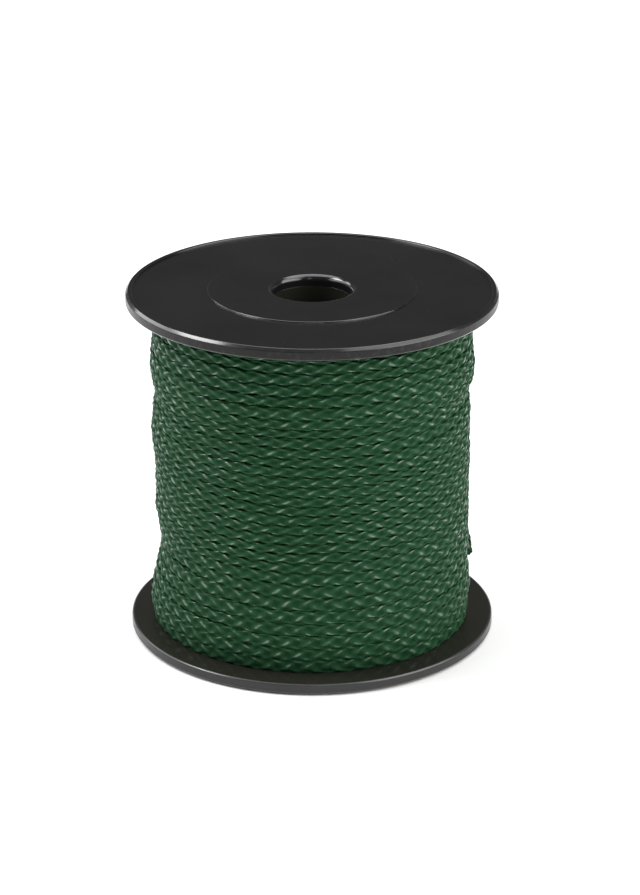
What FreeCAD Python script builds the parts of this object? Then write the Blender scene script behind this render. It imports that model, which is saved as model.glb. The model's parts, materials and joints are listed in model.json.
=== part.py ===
import FreeCAD, Part

# Plastic spool wound with braided green line, in millimetres.
# +Z runs up along the bore, and the origin is the centre of the lower rim, where the spool stands.
# Two equal flanges plug onto a winding barrel and clip into it, with a sleeve between their bores.
# The line is knotted inside the barrel, fills it in layers, and its last layer lies in open view.
import math
import os

# Spool as a whole
height = 73.6
flange_d = 76.0
bore_d = 16.0

# Flange: a web with a raised rim and a slightly raised hub disc
flange_t = 2.4
rim_width = 1.4
rim_rise = 0.4
rim_outer_round = 0.7
rim_inner_round = 0.25
rim_back_round = 0.4
hub_d = 42.7
hub_rise = 0.3
hub_round = 0.15
lip_round = 1.25

# Flange: collar round the sleeve, spigot inside the barrel, and the ribs between them
collar_wall = 1.6
spigot_wall = 1.6
spigot_h = 6.0
spigot_chamfer = 0.5
rib_count = 6
rib_t = 1.4
rib_h = 5.0
fit_gap = 0.05

# Clips on the spigot, and the windows in the barrel that hold them
clip_count = 4
clip_width = 6.0
clip_h = 1.4
clip_depth = 0.8
clip_from_web = 3.2
window_gap = 0.2

# Barrel and sleeve
barrel_d = 42.0
barrel_wall = 1.8
sleeve_wall = 1.6
end_chamfer = 0.3

# Line: its size, and the outside of the wound layers
line_d = 2.0
wound_d = 65.8
wound_waist = 0.6
wound_bulge_from_top = 15.6
turn_count = 24
layer_gap = 0.1
flange_gap = 0.3
end_bend_r = 2.5
end_run = line_d
pocket_gap = 0.15
anchor_hole_gap = 0.2
knot_d = 4.8
knot_above_spigot = 0.8

# How far a cutting shape reaches past the surface that it cuts
cut_past = 1.0

# Worked out from the sizes above
flange_r = flange_d / 2
bore_r = bore_d / 2
hub_r = hub_d / 2
barrel_r = barrel_d / 2
barrel_in_r = barrel_r - barrel_wall
sleeve_r = bore_r + sleeve_wall
collar_in_r = sleeve_r + fit_gap
collar_r = collar_in_r + collar_wall
spigot_r = barrel_in_r - fit_gap
spigot_in_r = spigot_r - spigot_wall
line_r = line_d / 2
knot_r = knot_d / 2
low_web = flange_t
high_web = height - flange_t
axis_z = FreeCAD.Vector(0, 0, 1)
origin = FreeCAD.Vector(0, 0, 0)


def at(radius, level):
    """A point of a profile, in the plane that is turned round Z."""
    return FreeCAD.Vector(radius, 0, level)


def quarter_arc(start, end, centre):
    """The round between two points that lie the same distance from a centre."""
    half = (start + end) * 0.5 - centre
    radius = (start - centre).Length
    return Part.Arc(start, centre + half * (radius / half.Length), end).toShape()


def closed_profile(edges, points):
    """Joins given edges and straight lines through the listed points into one closed face."""
    lines = [Part.LineSegment(a, b).toShape() for a, b in zip(points, points[1:])]
    return Part.Face(Part.Wire(Part.sortEdges(edges + lines)[0]))


def turned(face):
    """A full turn of a profile round Z."""
    return face.revolve(origin, axis_z, 360)


def ring(inner_r, outer_r, low, high, chamfer):
    """A tube round Z whose outer end corners are chamfered."""
    corners = [at(inner_r, low), at(outer_r - chamfer, low), at(outer_r, low + chamfer),
               at(outer_r, high - chamfer), at(outer_r - chamfer, high), at(inner_r, high), at(inner_r, low)]
    return turned(closed_profile([], corners))


def spread(shape, count, first_deg):
    """Equal copies of a shape round Z."""
    copies = []
    for i in range(count):
        copy = shape.copy()
        copy.rotate(origin, axis_z, first_deg + i * 360 / count)
        copies.append(copy)
    return copies


def block(radial_from, radial_to, width, low, high):
    """A box that straddles +X, from one radius to another."""
    size = radial_to - radial_from
    return Part.makeBox(size, width, high - low, FreeCAD.Vector(radial_from, -width / 2, low))


def flange_body():
    """The turned form of a flange, with its outer face down and its rim at Z = 0."""
    face_z = rim_rise
    hub_z = rim_rise - hub_rise
    rim_in_r = flange_r - rim_width
    tip_z = flange_t + spigot_h
    lip = quarter_arc(at(bore_r, hub_z + lip_round), at(bore_r + lip_round, hub_z),
                      at(bore_r + lip_round, hub_z + lip_round))
    hub_edge = quarter_arc(at(hub_r - hub_round, hub_z), at(hub_r, hub_z + hub_round),
                           at(hub_r - hub_round, hub_z + hub_round))
    rim_inner = quarter_arc(at(rim_in_r, rim_inner_round), at(rim_in_r + rim_inner_round, 0),
                            at(rim_in_r + rim_inner_round, rim_inner_round))
    rim_outer = quarter_arc(at(flange_r - rim_outer_round, 0), at(flange_r, rim_outer_round),
                            at(flange_r - rim_outer_round, rim_outer_round))
    rim_back = quarter_arc(at(flange_r, flange_t - rim_back_round), at(flange_r - rim_back_round, flange_t),
                           at(flange_r - rim_back_round, flange_t - rim_back_round))
    arcs = [lip, hub_edge, rim_inner, rim_outer, rim_back]
    lines = [
        (at(bore_r + lip_round, hub_z), at(hub_r - hub_round, hub_z)),
        (at(hub_r, hub_z + hub_round), at(hub_r, face_z)),
        (at(hub_r, face_z), at(rim_in_r, face_z)),
        (at(rim_in_r, face_z), at(rim_in_r, rim_inner_round)),
        (at(rim_in_r + rim_inner_round, 0), at(flange_r - rim_outer_round, 0)),
        (at(flange_r, rim_outer_round), at(flange_r, flange_t - rim_back_round)),
    ]
    arcs += [Part.LineSegment(a, b).toShape() for a, b in lines]
    inside = [
        at(flange_r - rim_back_round, flange_t),
        at(spigot_r, flange_t),
        at(spigot_r, tip_z - spigot_chamfer),
        at(spigot_r - spigot_chamfer, tip_z),
        at(spigot_in_r, tip_z),
        at(spigot_in_r, flange_t),
        at(collar_r, flange_t),
        at(collar_r, tip_z),
        at(collar_in_r, tip_z),
        at(collar_in_r, flange_t),
        at(bore_r, flange_t),
        at(bore_r, hub_z + lip_round),
    ]
    return turned(closed_profile(arcs, inside))


def clip():
    """One clip nose on the spigot, sloped so that it snaps under the barrel's window."""
    low = flange_t + clip_from_web
    root = spigot_r - spigot_wall / 2
    tip = spigot_r + clip_depth
    corners = [at(root, low), at(tip, low), at(spigot_r, low + clip_h), at(root, low + clip_h), at(root, low)]
    nose = closed_profile([], corners).extrude(FreeCAD.Vector(0, clip_width, 0))
    nose.translate(FreeCAD.Vector(0, -clip_width / 2, 0))
    return nose


def flange():
    """A whole flange, as it lies at the bottom of the spool."""
    web_middle = (rim_rise + flange_t) / 2
    rib = block(collar_r - collar_wall / 2, spigot_in_r + spigot_wall / 2, rib_t, web_middle, flange_t + rib_h)
    clip_turn = 180 / clip_count
    pieces = spread(rib, rib_count, 0) + spread(clip(), clip_count, clip_turn)
    return flange_body().fuse(pieces).removeSplitter()


def turned_over(shape):
    """The same piece at the other end of the spool, turned about the X axis."""
    copy = shape.copy()
    copy.rotate(origin, FreeCAD.Vector(1, 0, 0), 180)
    copy.translate(FreeCAD.Vector(0, 0, height))
    return copy


def knot_level():
    """The height of the line's anchor hole, clear above the spigot."""
    return low_web + spigot_h + knot_above_spigot + knot_r


def barrel():
    """The winding barrel, with clip windows at both ends and the line's anchor hole."""
    body = ring(barrel_in_r, barrel_r, low_web, high_web, end_chamfer)
    low = low_web + clip_from_web - window_gap
    high = low_web + clip_from_web + clip_h + window_gap
    window = block(barrel_in_r - cut_past, barrel_r + cut_past, clip_width + 2 * window_gap, low, high)
    low_windows = spread(window, clip_count, 180 / clip_count)
    cuts = low_windows + [turned_over(w) for w in low_windows]
    hole_r = line_r + anchor_hole_gap
    hole = Part.makeCylinder(hole_r, barrel_wall + 2 * cut_past, at(barrel_in_r - cut_past, knot_level()),
                             FreeCAD.Vector(1, 0, 0))
    return body.cut(cuts + [hole])


def wound_radius(level):
    """Outside of the winding: fuller near the top and slimmer low down, as the line has settled."""
    from_bulge = high_web - wound_bulge_from_top - level
    return wound_d / 2 + wound_waist * math.cos(2 * math.pi * from_bulge / height)


def start_knot():
    """The line's inner end: a stopper knot behind the anchor hole and the tail that leads to the layers."""
    level = knot_level()
    centre_r = barrel_in_r - knot_r - fit_gap
    tail = Part.makeCylinder(line_r, barrel_r + layer_gap / 2 - centre_r, at(centre_r, level),
                             FreeCAD.Vector(1, 0, 0))
    cut_end = Part.makeCylinder(line_r, knot_d, FreeCAD.Vector(centre_r, 0, level), FreeCAD.Vector(0, 1, 0))
    knot = Part.makeSphere(knot_r, at(centre_r, level))
    return knot.fuse([tail, cut_end]).removeSplitter()


def helix_point(turn):
    """Centre of the line and its direction after so many turns of the outer layer."""
    low = low_web + flange_gap + line_r
    pitch = (high_web - flange_gap - line_r - low) / turn_count
    angle = 2 * math.pi * turn + math.pi / 2
    level = low + pitch * turn
    radius = wound_radius(level) - line_r
    step = 1e-4
    slope = (wound_radius(level + pitch * step) - wound_radius(level)) / step / (2 * math.pi)
    outward = FreeCAD.Vector(math.cos(angle), math.sin(angle), 0)
    along = FreeCAD.Vector(-math.sin(angle), math.cos(angle), 0)
    direction = outward * slope + along * radius + axis_z * (pitch / (2 * math.pi))
    direction.normalize()
    return outward * radius + axis_z * level, direction, outward


def tangent_arc(start, end, corner):
    """The arc from start to end whose tangents meet at a corner."""
    weight = (end - start).Length / 2 / (corner - start).Length
    middle = (start + corner * (2 * weight) + end) * (1 / (2 + 2 * weight))
    return Part.Arc(start, middle, end).toShape()


def biarc(start, start_dir, end, end_dir):
    """Two arcs in space that leave one point and reach another in given directions."""
    span = end - start
    both = start_dir + end_dir
    spare = 2 * (1 - start_dir.dot(end_dir))
    reach = span.dot(both)
    leg = (math.sqrt(reach * reach + spare * span.dot(span)) - reach) / spare
    first_corner = start + start_dir * leg
    second_corner = end - end_dir * leg
    joint = (first_corner + second_corner) * 0.5
    return [tangent_arc(start, joint, first_corner), tangent_arc(joint, end, second_corner)]


def dive(point, direction, outward, sign):
    """The line's way down into the layers: a bend and a straight run square to the pocket's floor."""
    normal = outward - direction * outward.dot(direction)
    normal.normalize()
    centre = point - normal * end_bend_r
    foot = centre + direction * (end_bend_r * sign)
    middle = centre + (normal + direction * sign) * (end_bend_r / math.sqrt(2))
    end = foot - normal * end_run
    return Part.Arc(foot, middle, point).toShape(), Part.LineSegment(foot, end).toShape(), end, normal


def outer_path():
    """Edges of the outer layer's centreline, from the lower dive to the upper one."""
    count = 2 * turn_count
    stations = [helix_point(i / 2) for i in range(count + 1)]
    low_bend, low_run, low_end, low_normal = dive(*stations[0], -1)
    high_bend, high_run, high_end, high_normal = dive(*stations[-1], 1)
    edges = [low_run, low_bend]
    for first, second in zip(stations, stations[1:]):
        edges += biarc(first[0], first[1], second[0], second[1])
    edges += [high_bend, high_run]
    return edges, (low_end, low_normal), (high_end, high_normal)


def outer_turns():
    """The outer layer of line as one unbroken tube."""
    edges, (end, normal), _ = outer_path()
    path = Part.Wire(edges)
    circle = Part.Wire([Part.makeCircle(line_r, end, normal)])
    shell = Part.BRepOffsetAPI.MakePipeShell(path)
    shell.add(circle)
    shell.build()
    shell.makeSolid()
    tube = shell.shape()
    report_turns(edges, path, tube)
    return tube


def report_turns(edges, path, tube):
    """Prints the turns' length, their volume against the section, and the least gap to a neighbour."""
    per_edge = 8
    points = []
    for edge in edges[2:-2]:
        points += edge.discretize(per_edge + 1)[:-1]
    one_turn = 4 * per_edge
    least = min(
        (points[i] - points[j]).Length
        for i in range(len(points))
        for j in range(i + one_turn // 2, min(i + 2 * one_turn, len(points)))
    )
    share = tube.Volume / (math.pi * line_r ** 2 * path.Length)
    print("outer layer: %d turns, %.0f mm of line, least gap %.2f mm, volume over section %.4f, valid %s"
          % (turn_count, path.Length, least - line_d, share, tube.isValid()))


def pocket(end, normal, towards):
    """The room in the inner layers where an end of the outer layer goes down."""
    side = line_r + pocket_gap
    depth = wound_radius(end.z) - math.hypot(end.x, end.y) + cut_past
    turn = math.degrees(math.atan2(normal.y, normal.x))
    past_end = low_web - cut_past if towards > 0 else high_web + cut_past
    low = min(past_end, end.z - side)
    high = max(past_end, end.z + side)
    width = side + end_bend_r + 2 * pocket_gap
    across = -side if towards > 0 else side - width
    room = Part.makeBox(depth, width, high - low, FreeCAD.Vector(0, across, low))
    room.rotate(origin, axis_z, turn)
    room.translate(FreeCAD.Vector(end.x, end.y, 0))
    return room


def inner_layers():
    """The layers beneath the outer one, as one plain body round the barrel."""
    inner_r = barrel_r + layer_gap
    top = high_web - layer_gap
    samples = 12
    levels = [low_web + (top - low_web) * i / samples for i in range(samples + 1)]
    outside = [at(wound_radius(z) - line_d - layer_gap, z) for z in levels]
    curve = Part.BSplineCurve()
    curve.interpolate(outside)
    edges = [curve.toShape()]
    corners = [outside[-1], at(inner_r, top), at(inner_r, low_web), outside[0]]
    body = turned(closed_profile(edges, corners))
    _, low_end, high_end = outer_path()
    return body.cut([pocket(*low_end, 1), pocket(*high_end, -1)])


def sleeve():
    """The tube between the two bores, held in the flanges' collars."""
    return ring(bore_r, sleeve_r, low_web, high_web, end_chamfer)


def main():
    """Builds every piece, prints what it measures and writes one file for each."""
    os.makedirs("parts", exist_ok=True)
    lower = flange()
    pieces = {
        "lower_flange": lower,
        "upper_flange": turned_over(lower),
        "winding_barrel": barrel(),
        "bore_sleeve": sleeve(),
        "line_start_knot": start_knot(),
        "line_inner_layers": inner_layers(),
        "line_outer_turns": outer_turns(),
    }
    for name, shape in pieces.items():
        print("%-18s %d solid, %9.1f mm3, valid %s" % (name, len(shape.Solids), shape.Volume, shape.isValid()))
        shape.exportStep("parts/%s.step" % name)


main()
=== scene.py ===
"""Looks of a black plastic spool wound with braided green line.

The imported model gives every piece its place. This script dresses it: the two flanges and the sleeve are
turned from a fine outline, the last layer of line is laid row by row as one long braided tube, and each
surface gets its finish. Sizes in the classes are millimetres, as on a workshop drawing, and MM turns them
into metres where a mesh, a lamp or the camera is made.
"""

import enum
import json
import logging
import math
from dataclasses import dataclass, field

import bpy
import numpy as np
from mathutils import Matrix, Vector

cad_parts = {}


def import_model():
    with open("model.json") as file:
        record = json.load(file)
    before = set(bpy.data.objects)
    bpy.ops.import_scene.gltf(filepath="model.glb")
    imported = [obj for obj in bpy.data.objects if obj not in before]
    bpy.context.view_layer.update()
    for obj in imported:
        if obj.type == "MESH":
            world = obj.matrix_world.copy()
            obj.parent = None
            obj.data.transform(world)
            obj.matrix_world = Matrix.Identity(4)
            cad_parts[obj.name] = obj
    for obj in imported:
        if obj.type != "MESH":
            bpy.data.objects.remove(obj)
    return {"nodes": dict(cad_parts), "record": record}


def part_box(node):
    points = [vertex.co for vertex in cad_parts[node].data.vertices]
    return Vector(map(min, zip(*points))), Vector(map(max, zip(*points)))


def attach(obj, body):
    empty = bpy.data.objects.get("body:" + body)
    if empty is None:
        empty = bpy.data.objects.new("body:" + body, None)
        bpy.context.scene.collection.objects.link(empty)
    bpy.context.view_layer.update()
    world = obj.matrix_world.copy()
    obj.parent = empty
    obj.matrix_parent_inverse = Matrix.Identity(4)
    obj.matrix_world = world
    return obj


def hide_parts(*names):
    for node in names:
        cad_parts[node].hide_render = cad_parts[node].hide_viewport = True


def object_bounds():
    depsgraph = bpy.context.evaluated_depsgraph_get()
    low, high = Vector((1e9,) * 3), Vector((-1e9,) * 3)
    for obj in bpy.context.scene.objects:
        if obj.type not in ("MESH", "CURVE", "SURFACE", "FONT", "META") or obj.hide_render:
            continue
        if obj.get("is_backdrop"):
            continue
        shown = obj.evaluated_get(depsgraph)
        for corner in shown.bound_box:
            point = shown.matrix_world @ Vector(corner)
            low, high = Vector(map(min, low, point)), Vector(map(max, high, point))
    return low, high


MM = 0.001
BODY = "root"
BRAID_UV = "braid"
FULL_TURN = 2 * math.pi

Colour = tuple[float, float, float, float]
Span = tuple[float, float]

log = logging.getLogger("spool")


class Slot(enum.Enum):
    """The record's material slots."""

    PLASTIC = "spool_plastic"
    LINE = "braided_line"


class End(enum.Enum):
    """The two ends of the spool."""

    LOWER = "lower"
    UPPER = "upper"


# Shader sockets as numbers


class Wire:
    """One output of a shader node, which can stand in an expression."""

    def __init__(self, bench: "Bench", socket: bpy.types.NodeSocket) -> None:
        """Keeps the socket and the bench that adds further nodes.

        Args:
            bench: the bench of the tree that the socket belongs to.
            socket: the output that this object stands for.
        """
        self.bench = bench
        self.socket = socket

    def other(self, output: str) -> "Wire":
        """Another output of the same node."""
        return Wire(self.bench, self.socket.node.outputs[output])

    def __add__(self, value: "Wire | float") -> "Wire":
        """Sum."""
        return self.bench.maths("ADD", self, value)

    def __radd__(self, value: float) -> "Wire":
        """Sum, with the number first."""
        return self.bench.maths("ADD", value, self)

    def __sub__(self, value: "Wire | float") -> "Wire":
        """Difference."""
        return self.bench.maths("SUBTRACT", self, value)

    def __rsub__(self, value: float) -> "Wire":
        """Difference, with the number first."""
        return self.bench.maths("SUBTRACT", value, self)

    def __mul__(self, value: "Wire | float") -> "Wire":
        """Product."""
        return self.bench.maths("MULTIPLY", self, value)

    def __rmul__(self, value: float) -> "Wire":
        """Product, with the number first."""
        return self.bench.maths("MULTIPLY", value, self)

    def __truediv__(self, value: "Wire | float") -> "Wire":
        """Quotient."""
        return self.bench.maths("DIVIDE", self, value)

    def __gt__(self, value: "Wire | float") -> "Wire":
        """One where this is the larger, and zero elsewhere."""
        return self.bench.maths("GREATER_THAN", self, value)

    def __round__(self) -> "Wire":
        """The nearest whole number."""
        return self.bench.maths("ROUND", self)

    def __abs__(self) -> "Wire":
        """The size without the sign."""
        return self.bench.maths("ABSOLUTE", self)


class Bench:
    """A node tree on which a finish is put together."""

    def __init__(self, tree: bpy.types.NodeTree) -> None:
        """Takes an existing tree and clears it.

        Args:
            tree: the tree of a material or of the world.
        """
        self.tree = tree
        tree.nodes.clear()

    def node(self, kind: str, settings: dict | None = None, sockets: dict | None = None,
             output: str | int = 0) -> Wire:
        """Adds one node.

        Args:
            kind: the node's type.
            settings: its own properties, which are set first.
            sockets: a value or a wire for each socket, by name or number.
            output: the output that is wanted.

        Returns:
            That output, or the first input of a node that has no outputs.
        """
        made = self.tree.nodes.new(kind)
        for key, value in (settings or {}).items():
            setattr(made, key, value)
        for key, value in (sockets or {}).items():
            if isinstance(value, Wire):
                self.tree.links.new(value.socket, made.inputs[key])
            else:
                made.inputs[key].default_value = value
        return Wire(self, made.outputs[output] if made.outputs else made.inputs[0])

    def maths(self, operation: str, *values: Wire | float) -> Wire:
        """Adds a Math node on the given values, in order."""
        return self.node("ShaderNodeMath", {"operation": operation}, dict(enumerate(values)))

    def millimetres(self) -> Wire:
        """The place on the piece in millimetres, from its Object coordinates."""
        place = self.node("ShaderNodeTexCoord", output="Object")
        return self.node("ShaderNodeVectorMath", {"operation": "SCALE"}, {"Vector": place, "Scale": 1 / MM})

    def part(self, vector: Wire, axis: str) -> Wire:
        """One of the three numbers in a vector."""
        return self.node("ShaderNodeSeparateXYZ", {}, {"Vector": vector}, axis)

    def stretched(self, place: Wire, scale: tuple[float, float, float], turn: float) -> Wire:
        """A place scaled along X, Y and Z, and turned about Z in radians, for a pattern with a grain."""
        return self.node("ShaderNodeMapping", {"vector_type": "POINT"},
                         {"Vector": place, "Scale": scale, "Rotation": (0.0, 0.0, turn)})

    def noise(self, place: Wire, per_mm: float, detail: float) -> Wire:
        """Soft noise from 0 to 1, whose lumps come so many to the millimetre."""
        return self.node("ShaderNodeTexNoise", {"noise_dimensions": "3D"},
                         {"Vector": place, "Scale": per_mm, "Detail": detail}, "Fac")

    def step(self, value: Wire, low: float, high: float) -> Wire:
        """A smooth rise from 0 at the low value to 1 at the high one."""
        return self.node("ShaderNodeMapRange", {"interpolation_type": "SMOOTHSTEP"},
                         {"Value": value, "From Min": low, "From Max": high}, "Result")

    def blend(self, share: Wire, first: Wire | Colour, second: Wire | Colour) -> Wire:
        """A colour between two others. Sockets 0, 6 and 7 of a Mix node are its factor and its colours."""
        return self.node("ShaderNodeMix", {"data_type": "RGBA"}, {0: share, 6: first, 7: second}, 2)

    def bump(self, height: Wire, depth_mm: float, strength: float) -> Wire:
        """A normal that follows a height, whose value 1 stands so many millimetres high."""
        return self.node("ShaderNodeBump", {}, {"Height": height, "Distance": depth_mm * MM,
                                                "Strength": strength})

    def surface(self, sockets: dict) -> None:
        """Ends the tree with a Principled shader that has these values and links."""
        shader = self.node("ShaderNodeBsdfPrincipled", {}, sockets)
        self.node("ShaderNodeOutputMaterial", {}, {"Surface": shader})


def grey(level: float) -> Colour:
    """A neutral colour of one level."""
    return (level, level, level, 1.0)


def new_material(name: str) -> tuple[bpy.types.Material, Bench]:
    """Starts a material.

    Args:
        name: the material's name.

    Returns:
        The material, and the bench on which its nodes are put together.
    """
    material = bpy.data.materials.new(name)
    material.use_nodes = True
    return material, Bench(material.node_tree)


# Finishes


@dataclass(frozen=True)
class MouldedBlack:
    """Black moulded plastic, clean and satin, with a fine grain and faint hair scratches.

    Its edges are rubbed paler in places, and its slanted faces, which are the rounded and bevelled edges,
    are polished by hands and stacking. The rim's side is coloured lighter than the face, a painted sheen
    for the light that it catches. Lengths are in millimetres, turns in radians, patterns are counted to
    the millimetre, colours are linear, and a span is where a mask starts and ends.
    """

    flange_radius: float
    hub_radius: float
    name: str = "black_moulded_plastic"
    body: Colour = (0.0058, 0.0058, 0.0064, 1.0)
    bloom: Colour = (0.0132, 0.0132, 0.0138, 1.0)
    rubbed: Colour = (0.035, 0.035, 0.035, 1.0)
    # Painted sheen: the rim's side is coloured lighter than the face, for the light that it catches.
    wall_painted_sheen: Colour = (0.010, 0.010, 0.010, 1.0)
    roughness: float = 0.20
    cloud_roughness: float = 0.10
    grain_roughness: float = 0.06
    mark_roughness: float = 0.10
    wall_roughness: float = 0.12
    ior: float = 1.5
    specular: float = 0.22
    cloud_per_mm: float = 0.055
    grain_per_mm: float = 4.0
    grain_depth: float = 0.004
    grain_strength: float = 0.55
    mark_height: float = 0.6
    mark_share: float = 0.18
    worn_share: float = 0.5
    worn_per_mm: float = 0.9
    worn_span: Span = (0.52, 0.72)
    edge_width: float = 0.6
    wall_inset: Span = (0.7, 0.2)
    scratch_per_mm: float = 1.4
    scratch_length: float = 26.0
    scratch_width: float = 0.006
    scratch_turns: tuple[float, ...] = (0.5, 2.2)
    scratched_per_mm: tuple[float, ...] = (0.125, 0.176)
    scratched_span: Span = (0.55, 0.70)
    slant_start: Span = (0.15, 0.45)
    slant_end: Span = (0.95, 0.99)
    polish_roughness: float = 0.14
    polish_ior: float = 1.52

    def make(self) -> bpy.types.Material:
        """Makes the material.

        Returns:
            The material, with its pattern on Object coordinates.
        """
        material, bench = new_material(self.name)
        place = bench.millimetres()
        cloud = bench.noise(place, self.cloud_per_mm, detail=4.0)
        grain = bench.noise(place, self.grain_per_mm, detail=3.0)
        radius = self._radius(bench, place)
        patches = bench.noise(place, self.worn_per_mm, detail=5.0)
        worn = self._edges(bench, radius) * bench.step(patches, *self.worn_span)
        marks = self._scratches(bench, place)
        # Painted sheen: this mask makes the rim's side lighter than the face, and rougher.
        wall_painted_sheen = bench.step(radius, *(self.flange_radius - inset for inset in self.wall_inset))
        colour = bench.blend(cloud, self.body, self.bloom)
        colour = bench.blend(wall_painted_sheen, colour, self.wall_painted_sheen)
        colour = bench.blend(worn * self.worn_share + marks * self.mark_share, colour, self.rubbed)
        roughness = self.roughness + (cloud - 0.5) * self.cloud_roughness + marks * self.mark_roughness
        roughness = roughness + (grain - 0.5) * self.grain_roughness + wall_painted_sheen * self.wall_roughness
        bench.surface({
            "Base Color": colour, "Roughness": roughness,
            "Normal": bench.bump(grain + marks * self.mark_height, self.grain_depth, self.grain_strength),
            "IOR": self.ior, "Specular IOR Level": self.specular, "Coat Weight": self._polish(bench),
            "Coat Roughness": self.polish_roughness, "Coat IOR": self.polish_ior})
        return material

    def _polish(self, bench: Bench) -> Wire:
        """One on slanted faces, and zero on upright and level ones.

        Args:
            bench: the material's bench.

        Returns:
            The mask, from the upright part of the surface's normal.
        """
        upright = abs(bench.part(bench.node("ShaderNodeNewGeometry", output="Normal"), "Z"))
        return bench.step(upright, *self.slant_start) * (1.0 - bench.step(upright, *self.slant_end))

    @staticmethod
    def _radius(bench: Bench, place: Wire) -> Wire:
        """The distance from the spool's axis."""
        flat = bench.node("ShaderNodeVectorMath", {"operation": "MULTIPLY"}, {0: place, 1: (1.0, 1.0, 0.0)})
        return bench.node("ShaderNodeVectorMath", {"operation": "LENGTH"}, {0: flat}, "Value")

    def _edges(self, bench: Bench, radius: Wire) -> Wire:
        """One at the radii where the moulding has an edge, falling to zero beside them."""
        return sum(1.0 - bench.step(abs(radius - edge), 0.0, self.edge_width)
                   for edge in (self.flange_radius, self.hub_radius))

    def _scratches(self, bench: Bench, place: Wire) -> Wire:
        """Faint hair scratches, where a long thin noise passes its middle value.

        Args:
            bench: the material's bench.
            place: the place in millimetres.

        Returns:
            The mask, in patches that differ for each direction of the scratches.
        """
        total = 0.0
        for turn, per_mm in zip(self.scratch_turns, self.scratched_per_mm):
            long_way = bench.stretched(place, (1.0, 1.0 / self.scratch_length, 1.0), turn)
            off_middle = abs(bench.noise(long_way, self.scratch_per_mm, detail=2.0) - 0.5)
            hair = 1.0 - bench.step(off_middle, 0.0, self.scratch_width)
            scratched = bench.step(bench.noise(place, per_mm, detail=2.0), *self.scratched_span)
            total = total + hair * scratched
        return total


@dataclass(frozen=True)
class DustAndPaintedFillBlack(MouldedBlack):
    """The same plastic, lighter and a little brown, as low down on the spool and inside the bore: a dust tint, and
    painted fill light on these shaded parts, with the rim's side lighter still as painted sheen.
    """

    name: str = "black_moulded_plastic_dusty"
    body: Colour = (0.0155, 0.0155, 0.0118, 1.0)
    bloom: Colour = (0.0225, 0.0225, 0.0180, 1.0)
    # Painted sheen: the lower rim's side is coloured much lighter than the face.
    wall_painted_sheen: Colour = (0.042, 0.042, 0.042, 1.0)


@dataclass(frozen=True)
class BraidPattern:
    """How the strands of the braid cross. Lengths are in millimetres.

    A place on the line has two strand coordinates: the share of a turn round the line, less or plus the
    share of a lay along it, times the strands that run each way. Whole values lie on a strand's middle.
    """

    strands_each_way: int = 4
    lay: float = 16.48
    strand_rise: float = 0.34
    weave_rise: float = 0.12
    strand_cover: float = 0.88
    ridge: float = 0.22

    @property
    def relief(self) -> float:
        """How far a strand's crest stands above the bottom of the holes between strands."""
        return self.strand_rise + self.weave_rise

    @property
    def slope(self) -> float:
        """Fall of a strand's flank from its ridge to its edge, so that it starts at its full rise."""
        return self.strand_rise / (math.hypot(1.0, self.ridge) - self.ridge)

    def coordinates(self, turn: np.ndarray, along: np.ndarray) -> tuple[np.ndarray, np.ndarray]:
        """The two strand coordinates.

        Args:
            turn: turns round the line.
            along: distance along the line.

        Returns:
            The coordinate across the strands that wind one way, and across those that wind the other.
        """
        count = self.strands_each_way
        return count * (turn - along / self.lay), count * (turn + along / self.lay)

    def height(self, first: np.ndarray, second: np.ndarray) -> np.ndarray:
        """The height of the upper strand.

        Each strand is a ridge across, and rides up and down as a cosine over and under the strands that it
        crosses. What shows is the higher of the two.

        Args:
            first: the first strand coordinate.
            second: the second one.

        Returns:
            The height, from 0 in the holes to the relief on a crest.
        """
        near_first, near_second = np.round(first), np.round(second)
        one = self._crown(first - near_first) + self.weave_rise * np.cos(math.pi * (second + near_first))
        two = self._crown(second - near_second) - self.weave_rise * np.cos(math.pi * (first + near_second))
        return np.maximum(np.maximum(one, two), 0.0)

    def _crown(self, across: np.ndarray) -> np.ndarray:
        """The top of one strand: a hyperbola, which is straight down the flanks and round at the ridge."""
        share = 2 * across / self.strand_cover
        return self.slope * np.maximum(math.hypot(1.0, self.ridge) - np.hypot(share, self.ridge), 0.0)


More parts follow.
